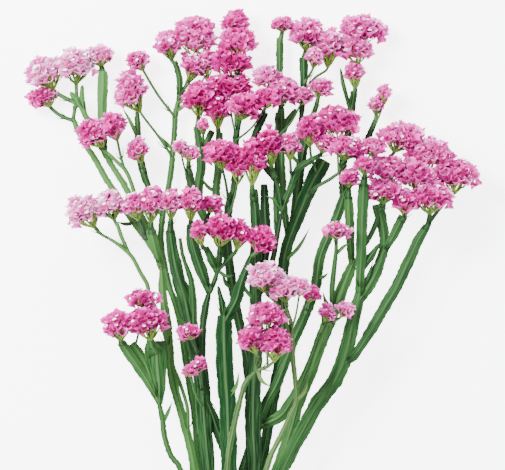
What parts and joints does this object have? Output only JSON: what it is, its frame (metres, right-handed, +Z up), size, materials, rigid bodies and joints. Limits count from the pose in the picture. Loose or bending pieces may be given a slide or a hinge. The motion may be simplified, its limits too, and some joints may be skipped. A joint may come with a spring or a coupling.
{
  "type": "statice bunch",
  "caption": "Loose bunch of cut pink statice lying on its side: winged, forked green stems fanning out from one gather to papery flower heads.",
  "frame": {"origin": "middle of the footprint, on the surface the bunch lies on", "axes": "+Y up the stems towards the heads, +Z up off the surface, +X to the right seen from above"},
  "size_m": [0.3616, 0.5067, 0.0974],
  "materials": {
    "stem_green": "matt fresh stem with a fine lengthwise grain",
    "deep_green": "matt dark winged stem",
    "fresh_green": "matt light young stem",
    "calyx_pink": "dry papery calyx, pleated",
    "calyx_light_pink": "dry papery calyx, pleated, paler",
    "calyx_magenta": "dry papery calyx, pleated, saturated",
    "bract_green": "dry yellow-green bract",
    "corolla_white": "thin white corolla"
  },
  "bodies": {
    "root": {"stem_tall_left": "stem_green", "stem_left_trunk": "stem_green", "stem_far_left": "stem_green", "stem_dark_blade": "deep_green", "stem_back_right": "stem_green", "stem_right_inner": "stem_green", "stem_right_outer": "stem_green", "stem_broad_middle": "deep_green", "stem_right_broad": "deep_green", "stem_broad_left": "deep_green", "stem_broad_fork": "stem_green", "stem_front_middle": "fresh_green", "stem_front_left": "fresh_green", "bloom_top_left": "calyx_pink", "bloom_bud_high": "calyx_pink", "bloom_left_spike": "calyx_pink", "bloom_bud_low": "calyx_pink", "bloom_left_crest": "calyx_light_pink", "bloom_left_low": "calyx_pink", "bloom_left_shoulder": "calyx_pink", "bloom_side_left": "calyx_light_pink", "bloom_left_middle": "calyx_pink", "bloom_front_left": "calyx_pink", "bloom_band_left": "calyx_pink", "bloom_band_middle": "calyx_magenta", "bloom_crown": "calyx_magenta", "bloom_left_drop": "calyx_pink", "bloom_crown_low": "calyx_magenta", "bloom_centre_right": "calyx_pink", "bloom_right_knot": "calyx_pink", "bloom_top_right": "calyx_pink", "bloom_top_right_low": "calyx_pink", "bloom_top_small": "calyx_pink", "bloom_centre_right_low": "calyx_pink", "bloom_right_crest": "calyx_pink", "bloom_right_spike": "calyx_pink", "bloom_bud_inner": "calyx_pink", "bloom_bud_middle": "calyx_pink", "bloom_right_small_low": "calyx_pink", "bloom_right_single": "calyx_pink", "bloom_bud_outer": "calyx_pink", "bloom_band_right": "calyx_pink", "bloom_top_middle": "calyx_pink", "bloom_right_small_high": "calyx_pink", "bloom_far_right_top": "calyx_pink", "bloom_far_right_mid": "calyx_pink", "bloom_left_pointed": "calyx_pink", "bloom_left_pair": "calyx_pink", "bloom_low_ruffle": "calyx_pink", "bloom_low_left": "calyx_pink", "bloom_low_middle": "calyx_magenta", "bloom_stalk_upper": "calyx_pink", "bloom_stalk_lower": "calyx_pink", "bloom_low_right": "calyx_magenta", "bloom_front_high": "calyx_light_pink", "bloom_front_low": "calyx_pink"}
  },
  "joints": []
}
